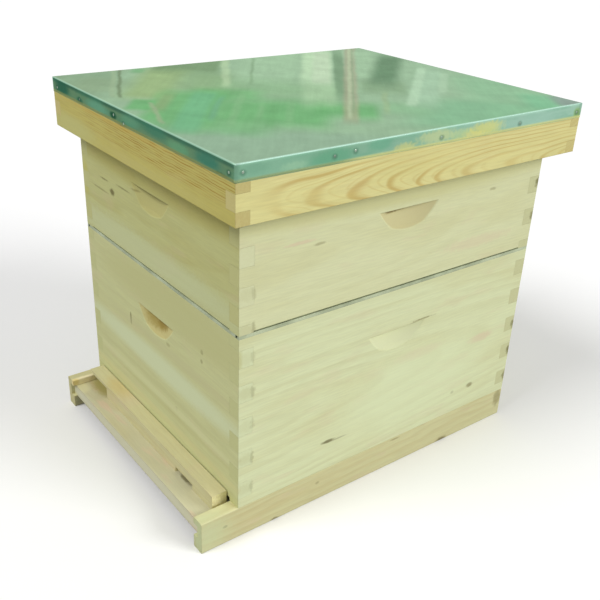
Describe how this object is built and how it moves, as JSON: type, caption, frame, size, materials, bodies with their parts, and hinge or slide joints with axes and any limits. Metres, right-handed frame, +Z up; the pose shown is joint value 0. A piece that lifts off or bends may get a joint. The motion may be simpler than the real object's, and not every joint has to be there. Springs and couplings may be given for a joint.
{
  "type": "langstroth beehive",
  "caption": "Wooden beehive with a landing board, deep and medium finger-jointed boxes of hanging frames, a wire queen excluder and a metal-topped telescoping roof",
  "frame": {"origin": "on the ground, under the middle of the whole hive's box", "axes": "+Z up; -Y is the entrance side with the landing board; +X is to the right of someone who faces the entrance"},
  "size_m": [0.4662, 0.5896, 0.5096],
  "materials": {
    "pine": "bare planed pine",
    "board_pine": "bare sawn pine",
    "frame_wood": "bare planed softwood",
    "plywood": "bare plywood",
    "galvanised_sheet": "semi-gloss galvanised sheet",
    "zinc_strip": "dull galvanised strip",
    "steel_wire": "zinc-plated wire",
    "foundation": "waxed foundation"
  },
  "bodies": {
    "bottom_board": {"left_rail": "board_pine", "right_rail": "board_pine", "floor_plank_1": "board_pine", "floor_plank_2": "board_pine", "floor_plank_3": "board_pine", "upper_cleat": "board_pine", "lower_cleat": "board_pine"},
    "entrance_reducer": {"entrance_reducer": "board_pine"},
    "brood_box": {"brood_front": "pine", "brood_rear": "pine", "brood_left": "pine", "brood_right": "pine", "brood_front_rest": "zinc_strip", "brood_rear_rest": "zinc_strip"},
    "brood_frames": {"deep_frame_1": "frame_wood", "deep_frame_2": "frame_wood", "deep_frame_3": "frame_wood", "deep_frame_4": "frame_wood", "deep_frame_5": "frame_wood", "deep_frame_6": "frame_wood", "deep_frame_7": "frame_wood", "deep_frame_8": "frame_wood", "deep_frame_9": "frame_wood", "deep_frame_10": "frame_wood", "deep_foundations": "foundation"},
    "queen_excluder": {"excluder_band": "zinc_strip", "excluder_wires": "steel_wire", "excluder_ties": "steel_wire"},
    "super_box": {"super_front": "pine", "super_rear": "pine", "super_left": "pine", "super_right": "pine", "super_front_rest": "zinc_strip", "super_rear_rest": "zinc_strip"},
    "super_frames": {"medium_frame_1": "frame_wood", "medium_frame_2": "frame_wood", "medium_frame_3": "frame_wood", "medium_frame_4": "frame_wood", "medium_frame_5": "frame_wood", "medium_frame_6": "frame_wood", "medium_frame_7": "frame_wood", "medium_frame_8": "frame_wood", "medium_frame_9": "frame_wood", "medium_frame_10": "frame_wood", "medium_foundations": "foundation"},
    "inner_cover": {"inner_front_rim": "pine", "inner_rear_rim": "pine", "inner_left_rim": "pine", "inner_right_rim": "pine", "inner_panel": "plywood"},
    "roof": {"roof_front_rim": "pine", "roof_rear_rim": "pine", "roof_left_rim": "pine", "roof_right_rim": "pine", "roof_panel": "plywood", "roof_sheet": "galvanised_sheet"}
  },
  "joints": [
    {"name": "brood_box_lift", "type": "slide", "parent": "bottom_board", "child": "brood_box", "axis": [0, 0, 1], "range_m": [0, 0.1]},
    {"name": "brood_frames_lift", "type": "slide", "parent": "brood_box", "child": "brood_frames", "axis": [0, 0, 1], "range_m": [0, 0.25]},
    {"name": "queen_excluder_lift", "type": "slide", "parent": "brood_frames", "child": "queen_excluder", "axis": [0, 0, 1], "range_m": [0, 0.06]},
    {"name": "super_box_lift", "type": "slide", "parent": "queen_excluder", "child": "super_box", "axis": [0, 0, 1], "range_m": [0, 0.1]},
    {"name": "super_frames_lift", "type": "slide", "parent": "super_box", "child": "super_frames", "axis": [0, 0, 1], "range_m": [0, 0.18]},
    {"name": "inner_cover_lift", "type": "slide", "parent": "super_frames", "child": "inner_cover", "axis": [0, 0, 1], "range_m": [0, 0.06]},
    {"name": "roof_lift", "type": "slide", "parent": "inner_cover", "child": "roof", "axis": [0, 0, 1], "range_m": [0, 0.12]},
    {"name": "reducer_pull", "type": "slide", "parent": "bottom_board", "child": "entrance_reducer", "axis": [0, -1, 0], "range_m": [0, 0.08]}
  ]
}
